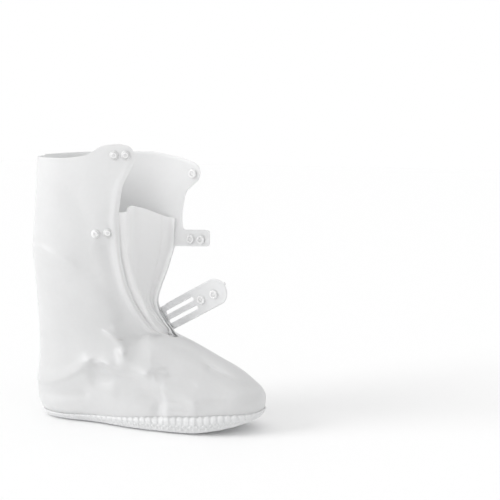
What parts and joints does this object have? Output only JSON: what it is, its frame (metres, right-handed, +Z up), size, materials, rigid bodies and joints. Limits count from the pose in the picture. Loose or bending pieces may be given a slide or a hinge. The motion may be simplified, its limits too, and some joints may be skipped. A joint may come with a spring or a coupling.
{
  "type": "waterproof over-boot gaiter",
  "caption": "Boot-shaped waterproof cover of milky film, with a slit front closed by snaps, a folded gusset, a slotted instep strap and a ribbed sole.",
  "frame": {"origin": "centre of the bounding box on the ground plane, at the underside of the sole", "axes": "+X towards the toe, +Z up the leg, -Y on the side with the snap studs"},
  "size_m": [0.3098, 0.114, 0.3515],
  "materials": {
    "film": "milky translucent soft PVC film with a satin surface",
    "sole": "milky soft PVC with a moulded ribbed and blocked tread",
    "snap": "smooth white resin"
  },
  "bodies": {
    "root": {"upper": "film", "outsole": "sole", "gusset": "film", "instep_strap": "film", "snap_cap_near_top_1": "snap", "snap_cap_near_top_2": "snap", "snap_cap_near_mid_1": "snap", "snap_cap_near_mid_2": "snap", "snap_cap_ear": "snap", "snap_cap_tab_1": "snap", "snap_cap_tab_2": "snap", "snap_cap_strap_1": "snap", "snap_cap_strap_2": "snap", "snap_stud_near_top_1": "snap", "snap_stud_near_top_2": "snap", "snap_stud_near_mid_1": "snap", "snap_stud_near_mid_2": "snap", "snap_socket_ear": "snap", "snap_socket_tab_1": "snap", "snap_socket_tab_2": "snap", "snap_socket_strap_1": "snap", "snap_socket_strap_2": "snap"}
  },
  "joints": []
}
